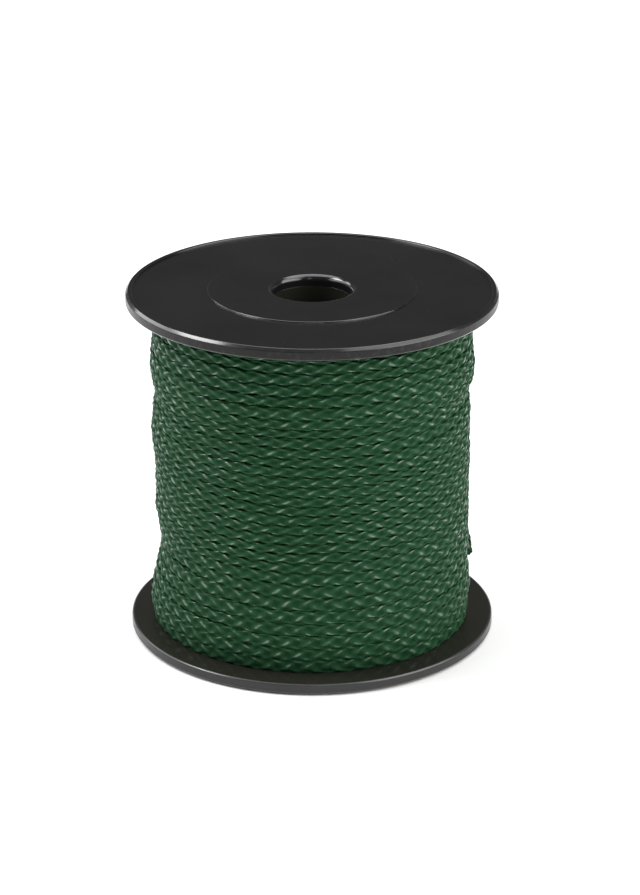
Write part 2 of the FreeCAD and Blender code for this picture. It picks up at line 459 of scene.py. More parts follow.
@dataclass(frozen=True)
class BraidedGreen:
    """Dark green braid of fine filaments, with glossy dashes where a strand rides over the others, which also carry a
    painted highlight in their colour; the holes and creases between strands carry painted shade.

    Lengths are in millimetres, patterns are counted to the millimetre, colours are linear, and a span is
    where a mask starts and ends.
    """

    name: str = "green_braided_line"
    pattern: BraidPattern = field(default_factory=BraidPattern)
    crest: Colour = (0.0120, 0.0505, 0.0206, 1.0)
    # Painted shade: the darker colour of the holes and creases between strands.
    valley_painted_shade: Colour = (0.0088, 0.0388, 0.0150, 1.0)
    faded_and_highlight: Colour = (0.0520, 0.1400, 0.0700, 1.0)
    patch_fading: float = 0.12
    dye_fading: float = 0.12
    thread_fading: float = 0.05
    # Painted highlight: how far the dashes pale the colour, beside the coat's gloss on them.
    dash_painted_highlight: float = 0.45
    roughness: float = 0.42
    dye_roughness: float = 0.08
    valley_roughness: float = 0.35
    thread_smoothness: float = 0.03
    ior: float = 1.5
    specular: float = 0.08
    specular_tint: Colour = (0.76, 1.0, 0.80, 1.0)
    lit_span: Span = (0.12, 0.80)
    filaments: float = 9.0
    wander: float = 0.5
    wander_per_mm: float = 0.8
    second_way_dye: float = 0.37
    patch_per_mm: float = 0.22
    patch_span: Span = (0.35, 0.75)
    relief_depth: float = 0.144
    relief_height: float = 0.8
    thread_height: float = 0.05
    relief_strength: float = 0.5
    dash_across: Span = (0.02, 0.17)
    dash_ride: Span = (0.25, 0.75)
    dash_per_mm: float = 0.45
    dash_span: Span = (0.38, 0.65)
    dash_least: float = 0.15
    dash_roughness: float = 0.20
    dash_ior: float = 1.80

    def make(self) -> bpy.types.Material:
        """Makes the material.

        Returns:
            The material, whose pattern reads the strand coordinates kept in the piece's own UV map.
        """
        material, bench = new_material(self.name)
        place = bench.millimetres()
        first = bench.part(bench.node("ShaderNodeUVMap", {"uv_map": BRAID_UV}), "X")
        second = first.other("Y")
        near_first, near_second = round(first), round(second)
        ride_one = self._ride(bench, second + near_first)
        ride_two = 0.0 - self._ride(bench, first + near_second)
        one = self._crown(bench, first - near_first) + ride_one
        two = self._crown(bench, second - near_second) + ride_two
        over = one > two
        under = 1.0 - over
        height = bench.maths("MAXIMUM", bench.maths("MAXIMUM", one, two), 0.0) / self.pattern.relief
        across = over * (first - near_first) + under * (second - near_second)
        strand = over * near_first + under * (near_second + self.second_way_dye)
        wander = bench.noise(place, self.wander_per_mm, detail=2.0) * self.wander
        thread = bench.maths("COSINE", (across * self.filaments + wander) * FULL_TURN)
        dye = bench.node("ShaderNodeTexWhiteNoise", {"noise_dimensions": "1D"}, {"W": strand}, "Value")
        patches = bench.step(bench.noise(place, self.patch_per_mm, detail=3.0), *self.patch_span)
        lit = bench.step(height, *self.lit_span)
        dash = self._dash(bench, place, across, over * ride_one + under * ride_two)
        fading = patches * self.patch_fading + dye * self.dye_fading + thread * self.thread_fading
        # Painted shade: lit, from the relief's height, blends from the darker colour in the holes and creases to the
        # crest colour.
        colour = bench.blend(lit, self.valley_painted_shade, self.crest)
        # Random fading on the crests, and a painted highlight along the dashes, pale the colour towards one lighter
        # green.
        colour = bench.blend(lit * fading + dash * self.dash_painted_highlight, colour, self.faded_and_highlight)
        roughness = self.roughness + dye * self.dye_roughness + (1.0 - lit) * self.valley_roughness
        roughness = roughness - thread * self.thread_smoothness
        raised = height * self.relief_height + thread * self.thread_height
        bench.surface({
            "Base Color": colour, "Roughness": roughness,
            "Normal": bench.bump(raised, self.relief_depth, self.relief_strength),
            "IOR": self.ior, "Specular IOR Level": self.specular, "Specular Tint": self.specular_tint,
            "Coat Weight": dash, "Coat Roughness": self.dash_roughness, "Coat IOR": self.dash_ior})
        return material

    def _dash(self, bench: Bench, place: Wire, across: Wire, ride: Wire) -> Wire:
        """One on the shiny filaments along a strand's ridge, where it rides over the others. It weights the coat's
        gloss, and the painted highlight in the colour.

        Args:
            bench: the material's bench.
            place: the place in millimetres.
            across: the place across the upper strand, from -0.5 to 0.5.
            ride: how high the upper strand rides.

        Returns:
            The mask, which differs from dash to dash.
        """
        line = 1.0 - bench.step(abs(across), *self.dash_across)
        length = bench.step(ride / self.pattern.weave_rise, *self.dash_ride)
        bright = bench.step(bench.noise(place, self.dash_per_mm, detail=1.0), *self.dash_span)
        return line * length * (self.dash_least + bright * (1.0 - self.dash_least))

    def _crown(self, bench: Bench, across: Wire) -> Wire:
        """The ridged top of one strand, as in the braid pattern.

        Args:
            bench: the material's bench.
            across: the place across the strand.

        Returns:
            Its height in millimetres.
        """
        share = across * (2.0 / self.pattern.strand_cover)
        ridge = self.pattern.ridge
        fall = bench.maths("SQRT", share * share + ridge * ridge)
        return self.pattern.slope * bench.maths("MAXIMUM", math.hypot(1.0, ridge) - fall, 0.0)

    def _ride(self, bench: Bench, crossings: Wire) -> Wire:
        """How high a strand rides where it crosses others, as in the braid pattern."""
        return self.pattern.weave_rise * bench.maths("COSINE", crossings * math.pi)


# Meshes


@dataclass
class Shape:
    """Points in millimetres, and faces as arrays of point numbers with one row for each face.

    On the line, braid holds the strand coordinates of every face's corners, in one array for each array of
    faces.
    """

    points: np.ndarray
    faces: list[np.ndarray]
    braid: list[np.ndarray] | None = None

    def joined(self, others: list["Shape"]) -> "Shape":
        """This shape and others as one. Shapes with strand coordinates aren't joined this way.

        Args:
            others: the other shapes.

        Returns:
            The whole.
        """
        points = [self.points]
        faces = list(self.faces)
        count = len(self.points)
        for other in others:
            points.append(other.points)
            faces += [face + count for face in other.faces]
            count += len(other.points)
        return Shape(np.concatenate(points), faces)

    def turned_over(self, height: float) -> "Shape":
        """The same shape at the other end of the spool, turned half a turn about the X axis."""
        points = self.points * np.array([1.0, -1.0, -1.0]) + np.array([0.0, 0.0, height])
        return Shape(points, self.faces)

    def piece(self, name: str, material: bpy.types.Material, sharp_deg: float) -> bpy.types.Object:
        """Makes the Blender object.

        Args:
            name: the piece's name.
            material: its finish.
            sharp_deg: edges that turn more than this stay crisp.

        Returns:
            The object, at the origin, with its place in its mesh.
        """
        mesh = bpy.data.meshes.new(name)
        corners = np.concatenate([face.ravel() for face in self.faces]).astype(np.int32)
        sizes = np.concatenate([np.full(len(face), face.shape[1]) for face in self.faces])
        starts = np.concatenate([[0], np.cumsum(sizes)[:-1]]).astype(np.int32)
        mesh.vertices.add(len(self.points))
        mesh.vertices.foreach_set("co", (self.points * MM).astype(np.float32).ravel())
        mesh.loops.add(len(corners))
        mesh.loops.foreach_set("vertex_index", corners)
        mesh.polygons.add(len(sizes))
        mesh.polygons.foreach_set("loop_start", starts)
        mesh.polygons.foreach_set("use_smooth", np.ones(len(sizes), dtype=bool))
        if self.braid is not None:
            layer = mesh.uv_layers.new(name=BRAID_UV)
            layer.data.foreach_set("uv", np.concatenate(self.braid).astype(np.float32).ravel())
        mesh.update(calc_edges=True)
        mesh.set_sharp_from_angle(angle=math.radians(sharp_deg))
        mesh.materials.append(material)
        made = bpy.data.objects.new(name, mesh)
        bpy.context.scene.collection.objects.link(made)
        return made


def grid_faces(rows: int, columns: int, close_rows: bool, close_columns: bool) -> np.ndarray:
    """Four-sided faces over a grid of points stored row by row.

    Args:
        rows: points along the first way.
        columns: points along the second way.
        close_rows: whether the last row joins the first.
        close_columns: whether the last column joins the first.

    Returns:
        One row of four point numbers for each face.
    """
    row = np.arange(rows if close_rows else rows - 1)
    column = np.arange(columns if close_columns else columns - 1)
    row, column = (part.ravel() for part in np.meshgrid(row, column, indexing="ij"))
    next_row = (row + 1) % rows
    next_column = (column + 1) % columns
    here, beside = row * columns + column, row * columns + next_column
    past, above = next_row * columns + next_column, next_row * columns + column
    return np.stack([here, beside, past, above], axis=1)


def at_corners(values: np.ndarray) -> np.ndarray:
    """Pairs of values on a grid, put at the corners of its faces in the order of grid_faces.

    Args:
        values: rows by columns by two, where a closed way has its first values again at its end.

    Returns:
        Four pairs for each face, one under the other.
    """
    corners = [values[:-1, :-1], values[:-1, 1:], values[1:, 1:], values[1:, :-1]]
    return np.stack(corners, axis=2).reshape(-1, 2)


def rounded_outline(corners: list[tuple[float, float, float]], arc_steps: int, guard: float) -> np.ndarray:
    """A closed outline with each corner rounded by an arc.

    A corner's arc touches each of its sides at the radius over the tangent of half the angle between them,
    measured from the corner. A point a guard's length beyond each arc keeps long flat faces flat, where the
    side has room for it.

    Args:
        corners: radius from the axis, height, and rounding radius of each corner, counter-clockwise.
        arc_steps: straight steps in each arc.
        guard: how far the guard points stand from the arcs.

    Returns:
        The points, radius from the axis and height, counter-clockwise.
    """
    place = np.array([corner[:2] for corner in corners])
    radius = np.array([corner[2] for corner in corners])
    back = np.roll(place, 1, axis=0) - place
    ahead = np.roll(place, -1, axis=0) - place
    back_length = np.linalg.norm(back, axis=1)
    ahead_length = np.linalg.norm(ahead, axis=1)
    back = back / back_length[:, None]
    ahead = ahead / ahead_length[:, None]
    half = np.arccos(np.clip(np.sum(back * ahead, axis=1), -1, 1)) / 2
    leg = radius / np.tan(half)
    middle = (back + ahead) / np.linalg.norm(back + ahead, axis=1)[:, None]
    centre = place + middle * (radius / np.sin(half))[:, None]
    start = (place + back * leg[:, None] - centre)[:, None]
    end = (place + ahead * leg[:, None] - centre)[:, None]
    share = np.linspace(0, 1, arc_steps + 1)[None, :, None]
    sweep = (math.pi - 2 * half)[:, None, None]
    arc = (np.sin((1 - share) * sweep) * start + np.sin(share * sweep) * end) / np.sin(sweep)
    arc = arc + centre[:, None]
    before = place + back * (leg + guard)[:, None]
    after = place + ahead * (leg + guard)[:, None]
    room_back = back_length > leg + np.roll(leg, 1) + 3 * guard
    room_ahead = ahead_length > leg + np.roll(leg, -1) + 3 * guard
    points = []
    for i in range(len(corners)):
        if room_back[i]:
            points.append(before[i:i + 1])
        points.append(arc[i])
        if room_ahead[i]:
            points.append(after[i:i + 1])
    return np.concatenate(points)


def lathe(outline: np.ndarray, segments: int) -> Shape:
    """A closed outline carried once round Z: each point's place is its radius times the cosine and the sine
    of the angle, at its own height.

    Args:
        outline: radius from the axis and height of each point, counter-clockwise.
        segments: steps in the turn.

    Returns:
        The turned shape.
    """
    angle = np.arange(segments) * (FULL_TURN / segments)
    radius = outline[:, 0][:, None]
    level = np.broadcast_to(outline[:, 1][:, None], (len(outline), segments))
    points = np.stack([radius * np.cos(angle), radius * np.sin(angle), level], axis=2)
    faces = grid_faces(len(outline), segments, close_rows=True, close_columns=True)
    return Shape(points.reshape(-1, 3), [faces])


def spread_prisms(outline: np.ndarray, width: float, count: int, first_deg: float) -> list[Shape]:
    """Equal plates round Z: an outline of radius and height, given a width across, turned to each place.

    Args:
        outline: the plate's corners, radius and height, counter-clockwise.
        width: the plate's thickness across the radius.
        count: how many plates.
        first_deg: angle of the first one.

    Returns:
        The plates, each a closed shape.
    """
    corners = len(outline)
    near = np.column_stack([outline[:, 0], np.full(corners, -width / 2), outline[:, 1]])
    far = near * np.array([1.0, -1.0, 1.0])
    flat = np.concatenate([near, far])
    order = np.arange(corners)
    after = np.roll(order, -1)
    sides = np.stack([order, order + corners, after + corners, after], axis=1)[:, ::-1]
    ends = [order[None], (order + corners)[::-1][None]]
    plates = []
    for angle in np.radians(first_deg) + np.arange(count) * (FULL_TURN / count):
        turn = np.array([[math.cos(angle), math.sin(angle), 0],
                         [-math.sin(angle), math.cos(angle), 0], [0, 0, 1]])
        plates.append(Shape(flat @ turn, [sides, *ends]))
    return plates


def round_spool(azimuth: np.ndarray, radius: np.ndarray | float, level: np.ndarray | float) -> np.ndarray:
    """Points round the spool's axis: X is the radius times the azimuth's sine, Y is less the radius times
    its cosine, and Z is the level.

    Args:
        azimuth: angles in radians, 0 towards the viewer.
        radius: distances from the axis.
        level: heights.

    Returns:
        The points, with their three numbers along the last axis.
    """
    parts = (radius * np.sin(azimuth), -radius * np.cos(azimuth), level)
    return np.stack(np.broadcast_arrays(*parts), axis=-1)


def distance_along(path: np.ndarray) -> np.ndarray:
    """The distance from a path's start at each of its points, as the running sum of its steps."""
    return np.concatenate([[0.0], np.cumsum(np.linalg.norm(np.diff(path, axis=0), axis=1))])


def signed_power(value: np.ndarray, power: float) -> np.ndarray:
    """A power of the size of a value, with the value's own sign."""
    return np.sign(value) * np.abs(value) ** power


def place_piece(piece: bpy.types.Object, slot: Slot, *replaced: str) -> bpy.types.Object:
    """Ties a new piece to the frame.

    Args:
        piece: the new piece.
        slot: the material slot that the piece belongs to; it is not used.
        replaced: the CAD nodes that it stands for.

    Returns:
        The piece.
    """
    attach(piece, BODY)
    slot.value
    if replaced:
        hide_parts(*replaced)
    stands_for = ", ".join(replaced) or "itself"
    log.info("%s: %d faces, stands for %s", piece.name, len(piece.data.polygons), stands_for)
    return piece


# The spool


@dataclass
class Flange:
    """One moulded flange: a web with a raised rim, a raised hub disc, a collar and a spigot with its clips.

    Sizes are millimetres. The outline is drawn for the lower flange, whose outer face looks down.
    """

    end: End
    radius: float
    spool_height: float
    bore_radius: float
    web: float = 2.4
    rim_width: float = 1.4
    rim_rise: float = 0.4
    rim_bevel_in: float = 0.56
    rim_bevel_up: float = 0.58
    rim_bevel_round: float = 0.25
    rim_inner_round: float = 0.25
    rim_back_round: float = 0.4
    hub_radius: float = 21.35
    hub_rise: float = 0.3
    hub_round: float = 0.22
    foot_round: float = 0.07
    lip_round: float = 1.25
    sleeve_wall: float = 1.6
    collar_wall: float = 1.6
    spigot_wall: float = 1.6
    spigot_height: float = 6.0
    barrel_inner_radius: float = 19.2
    fit_gap: float = 0.05
    inside_round: float = 0.12
    seam_round: float = 0.03
    rib_count: int = 6
    rib_thickness: float = 1.4
    rib_height: float = 5.0
    clip_count: int = 4
    clip_width: float = 6.0
    clip_height: float = 1.4
    clip_depth: float = 0.8
    clip_from_web: float = 3.2
    segments: int = 256
    arc_steps: int = 7
    guard: float = 0.06

    @property
    def spigot_radius(self) -> float:
        """Outside of the spigot, which plugs into the barrel."""
        return self.barrel_inner_radius - self.fit_gap

    @property
    def collar_inner_radius(self) -> float:
        """Inside of the collar, which holds the sleeve."""
        return self.bore_radius + self.sleeve_wall + self.fit_gap

    def outline(self) -> np.ndarray:
        """The turned section: along the outer face, up the rim, back over the web, spigot and collar.

        Returns:
            The outline's points, radius from the axis and height.
        """
        hub_level = self.rim_rise - self.hub_rise
        rim_inner = self.radius - self.rim_width
        tip = self.web + self.spigot_height
        spigot_inner = self.spigot_radius - self.spigot_wall
        collar = self.collar_inner_radius + self.collar_wall
        small = self.inside_round
        corners = [
            (self.bore_radius, hub_level, self.lip_round),
            (self.hub_radius, hub_level, self.hub_round),
            (self.hub_radius, self.rim_rise, self.foot_round),
            (rim_inner, self.rim_rise, self.foot_round),
            (rim_inner, 0.0, self.rim_inner_round),
            (self.radius - self.rim_bevel_in, 0.0, self.rim_bevel_round),
            (self.radius, self.rim_bevel_up, self.rim_bevel_round),
            (self.radius, self.web, self.rim_back_round),
            (self.spigot_radius, self.web, small),
            (self.spigot_radius, tip, small),
            (spigot_inner, tip, small),
            (spigot_inner, self.web, small),
            (collar, self.web, small),
            (collar, tip, small),
            (self.collar_inner_radius, tip, small),
            (self.collar_inner_radius, self.web, small),
            (self.bore_radius, self.web, self.seam_round),
        ]
        return rounded_outline(corners, self.arc_steps, self.guard)

    def ribs(self) -> list[Shape]:
        """The ribs between collar and spigot, each rooted in the middle of both walls and of the web.

        Returns:
            One closed shape for each rib.
        """
        inner = self.collar_inner_radius + self.collar_wall / 2
        outer = self.spigot_radius - self.spigot_wall / 2
        low = (self.rim_rise + self.web) / 2
        high = self.web + self.rib_height
        outline = np.array([(inner, low), (outer, low), (outer, high), (inner, high)])
        return spread_prisms(outline, self.rib_thickness, self.rib_count, first_deg=0.0)

    def clips(self) -> list[Shape]:
        """The clip noses on the spigot, which slope back to it at the top.

        Returns:
            One closed shape for each nose.
        """
        low = self.web + self.clip_from_web
        high = low + self.clip_height
        root = self.spigot_radius - self.spigot_wall / 2
        nose = self.spigot_radius + self.clip_depth
        outline = np.array([(root, low), (nose, low), (self.spigot_radius, high), (root, high)])
        return spread_prisms(outline, self.clip_width, self.clip_count, first_deg=180 / self.clip_count)

    def build(self, material: bpy.types.Material) -> bpy.types.Object:
        """Makes the flange at its own end of the spool.

        Args:
            material: the plastic.

        Returns:
            The finished piece.
        """
        shape = lathe(self.outline(), self.segments).joined(self.ribs() + self.clips())
        if self.end is End.UPPER:
            shape = shape.turned_over(self.spool_height)
        piece = shape.piece(f"{self.end.value}_flange_moulding", material, sharp_deg=35.0)
        return place_piece(piece, Slot.PLASTIC, f"{self.end.value}_flange")


@dataclass
class Sleeve:
    """The tube between the two bores. Sizes are millimetres."""

    inner_radius: float
    outer_radius: float
    low: float
    high: float
    inner_round: float = 0.03
    outer_round: float = 0.3
    segments: int = 192
    arc_steps: int = 4
    guard: float = 0.1

    def build(self, material: bpy.types.Material) -> bpy.types.Object:
        """Makes the sleeve.

        Args:
            material: the plastic.

        Returns:
            The finished piece.
        """
        corners = [(self.inner_radius, self.low, self.inner_round),
                   (self.outer_radius, self.low, self.outer_round),
                   (self.outer_radius, self.high, self.outer_round),
                   (self.inner_radius, self.high, self.inner_round)]
        outline = rounded_outline(corners, self.arc_steps, self.guard)
        piece = lathe(outline, self.segments).piece("sleeve_tube", material, sharp_deg=35.0)
        return place_piece(piece, Slot.PLASTIC, "bore_sleeve")


# The line


@dataclass
class Line:
    """The braided line itself: a tube whose section is a rounded square, with the braid's relief on it.

    The outward share says how far the skin's points crowd together on the outward side, from 0 for evenly
    spread. A squareness of 2 is an ellipse, and more is nearer to a rectangle.
    """

    pattern: BraidPattern
    sides: int = 24
    outward_share: float = 0.50
    squareness: float = 2.7

    def tube(self, centre: np.ndarray, outward: np.ndarray, half_width: np.ndarray, half_height: np.ndarray,
             along: np.ndarray, twist: np.ndarray) -> Shape:
        """The line along a path.

        A point of the skin is the path's centre, plus the outward way and the sideways way times the
        section's two numbers at an angle round it.

        Args:
            centre: points of the path.
            outward: the way that faces out of the winding, at each point.
            half_width: half of the section's width, sideways.
            half_height: half of its height, outward.
            along: distance along the line.
            twist: turns by which the braid has rolled about the line.

        Returns:
            The closed tube with its strand coordinates.
        """
        tangent = np.gradient(centre, axis=0)
        tangent /= np.linalg.norm(tangent, axis=1)[:, None]
        outward = outward - tangent * np.sum(outward * tangent, axis=1)[:, None]
        outward /= np.linalg.norm(outward, axis=1)[:, None]
        sideways = np.cross(tangent, outward)
        round_it = FULL_TURN * (np.arange(self.sides + 1) / self.sides - 0.5)
        angle = (round_it - self.outward_share * np.sin(round_it))[None, :]
        first, second = self.pattern.coordinates(angle / FULL_TURN + twist[:, None], along[:, None])
        lack = self.pattern.relief - self.pattern.height(first, second)
        out, side = self._section(angle, half_width[:, None], half_height[:, None], lack)
        skin = centre[:, None] + outward[:, None] * out[..., None] + sideways[:, None] * side[..., None]
        points = np.concatenate([skin[:, :-1].reshape(-1, 3), centre[:1], centre[-1:]])
        order = np.arange(self.sides)
        after = np.roll(order, -1)
        last = (len(centre) - 1) * self.sides
        hub = len(centre) * self.sides
        walls = grid_faces(len(centre), self.sides, close_rows=False, close_columns=True)
        start_cap = np.stack([np.full(self.sides, hub), after, order], axis=1)
        end_cap = np.stack([np.full(self.sides, hub + 1), last + order, last + after], axis=1)
        braid = np.stack([first, second], axis=2)
        caps = [np.tile(braid[station, 0], (3 * self.sides, 1)) for station in (0, -1)]
        return Shape(points, [walls, start_cap, end_cap], [at_corners(braid), *caps])

    def _section(self, angle: np.ndarray, half_width: np.ndarray, half_height: np.ndarray,
                 lack: np.ndarray) -> tuple[np.ndarray, np.ndarray]:
        """The section's skin.

        It is a superellipse: the half sizes times the cosine and the sine, each to the power of two over
        the squareness and with its sign. Its normal is the cosine and the sine to the power of two less
        that one, over the half sizes, and the skin is drawn in along it.

        Args:
            angle: the angles round the section, 0 outward.
            half_width: half of its width.
            half_height: half of its height.
            lack: how far the skin is drawn in, which is what the braid's relief lacks there.

        Returns:
            How far the skin is out from the middle, and how far to the side.
        """
        cosine, sine = np.cos(angle), np.sin(angle)
        fullness = 2 / self.squareness
        out_way = signed_power(cosine, 2 - fullness) / half_height
        side_way = signed_power(sine, 2 - fullness) / half_width
        slope = np.hypot(out_way, side_way)
        return (half_height * signed_power(cosine, fullness) - lack * out_way / slope,
                half_width * signed_power(sine, fullness) - lack * side_way / slope)

    def even_tube(self, centre: np.ndarray, outward: np.ndarray, half_width: float,
                  half_height: float) -> Shape:
        """The line along a path with one section all the way and no roll.

        Args:
            centre: points of the path.
            outward: the way of the section's height, at each point.
            half_width: half of the section's width.
            half_height: half of its height.

        Returns:
            The closed tube with its strand coordinates.
        """
        same = np.ones(len(centre))
        return self.tube(centre, outward, half_width * same, half_height * same,
                         distance_along(centre), 0 * same)


@dataclass(frozen=True)
class Swelling:
    """A place where the winding stands proud or lies low, in millimetres; its side is in degrees."""

    level: float
    rise: float
    spread: float
    side: float | None = None


@dataclass(frozen=True)
class Crowding:
    """How widely the rows lie at a level, in millimetres. From one level to the next it changes evenly."""

    level: float
    row_width: float


@dataclass(frozen=True)
class Wobble:
    """Smooth unevenness round the spool, which differs from row to row.

    It has a typical size, a highest number of waves in the turn, a number of waves past which they fade,
    and a kinship, which is how many neighbouring rows move together.
    """

    size: float
    waves: int
    softness: float
    kinship: float

    def rows(self, rng: np.random.Generator, count: int, angle: np.ndarray) -> np.ndarray:
        """The unevenness of each row.

        It is a sum of cosines and sines of whole multiples of the angle, which fade as one over one plus
        the square of the multiple over the softness. Their weights are shared between neighbouring rows by
        a bell curve as wide as the kinship.

        Args:
            rng: the seeded source of chance.
            count: how many rows.
            angle: the angles.

        Returns:
            One value for each row and angle.
        """
        multiple = np.arange(1, self.waves + 1)
        fade = 1 / (1 + (multiple / self.softness) ** 2)
        fade = fade / np.linalg.norm(fade)
        apart = np.subtract.outer(np.arange(count), np.arange(count)) / self.kinship
        share = np.exp(-apart ** 2)
        share /= np.linalg.norm(share, axis=1)[:, None]
        cosines = (share @ rng.normal(size=(count, self.waves))) * fade
        sines = (share @ rng.normal(size=(count, self.waves))) * fade
        turned = np.outer(multiple, angle)
        return self.size * (cosines @ np.cos(turned) + sines @ np.sin(turned))


@dataclass
class Winding:
    """The last layer of line, row upon row. Sizes are millimetres and angles are degrees.

    Azimuth 0 faces the photograph's viewer and grows to the viewer's right. Each row reaches into its
    neighbours by the nesting, and climbs to the next one in the crossover, which is a share of a turn. The
    edges between rows are uneven, but fade to level over the calm rows at both ends. Where a row is slack,
    it is narrower.
    """

    line: Line
    low: float
    high: float
    radius: float = 32.8
    section_area: float = 1.12
    nesting: float = 0.17
    least_half_width: float = 0.8
    braid_roll: float = 0.147
    rolls_per_turn: int = 1
    crossover: float = 0.17
    crossover_middle: float = 180.0
    stations_per_turn: int = 800
    piece_count: int = 7
    seed: int = 11
    calm_rows: int = 3
    edge_drift: Wobble = Wobble(0.20, 6, 3.0, 2.5)
    edge_kinks: Wobble = Wobble(0.07, 26, 9.0, 0.7)
    slackness: Wobble = Wobble(0.10, 8, 4.0, 0.4)
    slack_from: float = 0.06
    proudness: Wobble = Wobble(0.09, 18, 7.0, 0.6)
    rolling: Wobble = Wobble(0.02, 10, 5.0, 0.4)
    sink_heights: float = 2.0
    sink_narrowing: float = 0.3
    level_samples: int = 800
    swellings: tuple[Swelling, ...] = (
        Swelling(58.5, 0.65, 4.5),
        Swelling(52.5, -0.35, 2.5),
        Swelling(9.0, 0.35, 4.0),
        Swelling(44.0, 0.60, 4.5, -90.0),
        Swelling(20.0, -1.20, 5.0, -90.0),
        Swelling(52.8, -0.35, 2.5, 90.0),
        Swelling(6.0, 0.80, 4.0, -90.0),
    )
    crowdings: tuple[Crowding, ...] = (
        Crowding(2.4, 2.75),
        Crowding(20.5, 2.70),
        Crowding(26.5, 2.05),
        Crowding(54.0, 2.00),
        Crowding(59.0, 2.30),
        Crowding(71.2, 2.40),
    )

    def surface_radius(self, azimuth: np.ndarray, level: np.ndarray) -> np.ndarray:
        """Outside of the winding: a plain radius plus a bell curve of height for each swelling. One with a
        side fades with the squared cosine of the angle from it, and is gone at a quarter turn.

        Args:
            azimuth: angles in radians.
            level: heights.

        Returns:
            The radius at each.
        """
        total = np.full(np.broadcast(azimuth, level).shape, self.radius)
        for swell in self.swellings:
            bell = swell.rise * np.exp(-((level - swell.level) / swell.spread) ** 2)
            if swell.side is not None:
                bell = bell * np.maximum(np.cos(azimuth - math.radians(swell.side)), 0.0) ** 2
            total = total + bell
        return total

    def row_edges(self) -> np.ndarray:
        """The edges between rows, at equal steps of the sum of height over row width.

        Returns:
            Their heights, with the two ends.
        """
        fine = np.linspace(self.low, self.high, self.level_samples)
        levels = [crowding.level for crowding in self.crowdings]
        widths = np.interp(fine, levels, [crowding.row_width for crowding in self.crowdings])
        counted = np.concatenate([[0.0], np.cumsum(np.diff(fine) / ((widths[1:] + widths[:-1]) / 2))])
        rows = int(round(counted[-1]))
        return np.interp(np.linspace(0, counted[-1], rows + 1), counted, fine)

    def path(self) -> dict[str, np.ndarray]:
        """The line's centre and section at every station, from the lower end to the upper one.

        Every row lies level for most of a turn and climbs to the next in the crossover, by a smooth step. A
        row's section fills the room between its edges, and its height is the section's area over its half
        width. In the last crossover at each end the line comes up from the layer below.

        Returns:
            Arrays by name: centre, outward, half_width, half_height, along and twist.
        """
        rng = np.random.default_rng(self.seed)
        count = self.stations_per_turn
        start_deg = self.crossover_middle + 180 * self.crossover
        azimuth = math.radians(start_deg) + np.arange(count) * (FULL_TURN / count)
        edges = self.row_edges()
        rows = len(edges) - 1
        from_end = np.minimum(np.arange(rows + 1), rows - np.arange(rows + 1))
        calm = np.minimum(1, from_end / self.calm_rows)[:, None]
        edges = edges[:, None] + calm * self.edge_drift.rows(rng, rows + 1, azimuth)
        edges = edges + calm * self.edge_kinks.rows(rng, rows + 1, azimuth)
        slack = np.maximum(self.slackness.rows(rng, rows, azimuth) - self.slack_from, 0.0)
        proud = self.proudness.rows(rng, rows, azimuth)
        roll = self.braid_roll + self.rolling.rows(rng, rows, azimuth)
        climb = np.clip((np.arange(count) / count - 1 + self.crossover) / self.crossover, 0, 1)
        climb = climb * climb * (3 - 2 * climb)
        lead = int(self.crossover * count)

        def chained(values: np.ndarray) -> np.ndarray:
            """Row values joined through the crossovers, with the first crossover put in front."""
            above = np.concatenate([values[1:], values[-1:]])
            return np.concatenate([values[0, -lead:], (values * (1 - climb) + above * climb).ravel()])

        level = chained((edges[1:] + edges[:-1]) / 2)
        half_width = chained((edges[1:] - edges[:-1]) / 2 + self.nesting - slack)
        half_height = self.section_area / np.maximum(half_width, self.least_half_width)
        angle = np.concatenate([azimuth[-lead:] - FULL_TURN,
                                (azimuth + FULL_TURN * np.arange(rows)[:, None]).ravel()])
        sunk = np.zeros(len(level))
        sunk[:lead] = 1 - climb[-lead:]
        sunk[-lead:] = climb[-lead:]
        depth = half_height * (1 + self.sink_heights * sunk)
        centre = round_spool(angle, self.surface_radius(angle, level) + chained(proud) - depth, level)
        return {"centre": centre, "outward": round_spool(angle, 1.0, 0.0),
                "half_width": half_width * (1 - self.sink_narrowing * sunk), "half_height": half_height,
                "along": distance_along(centre),
                "twist": chained(roll) + angle / FULL_TURN * self.rolls_per_turn}

    def build(self, material: bpy.types.Material) -> list[bpy.types.Object]:
        """Makes the layer as several lengths that follow on from each other.

        Each length's distance along the line is counted from a whole lay, so that the braid runs on.

        Args:
            material: the line's finish.

        Returns:
            The finished pieces, from the lowest up.
        """
        path = self.path()
        total = len(path["along"])
        log.info("winding: %d stations, %.1f m of line in the last layer", total, path["along"][-1] * MM)
        bounds = np.linspace(0, total - 1, self.piece_count + 1).astype(int)
        pieces = []
        for number, (first, last) in enumerate(zip(bounds, bounds[1:]), start=1):
            part = {key: values[first:last + 1] for key, values in path.items()}
            lays = math.floor(part["along"][0] / self.line.pattern.lay)
            part["along"] = part["along"] - lays * self.line.pattern.lay
            piece = self.line.tube(**part).piece(f"line_rows_{number}", material, sharp_deg=85.0)
            pieces.append(place_piece(piece, Slot.LINE, "line_outer_turns"))
        return pieces


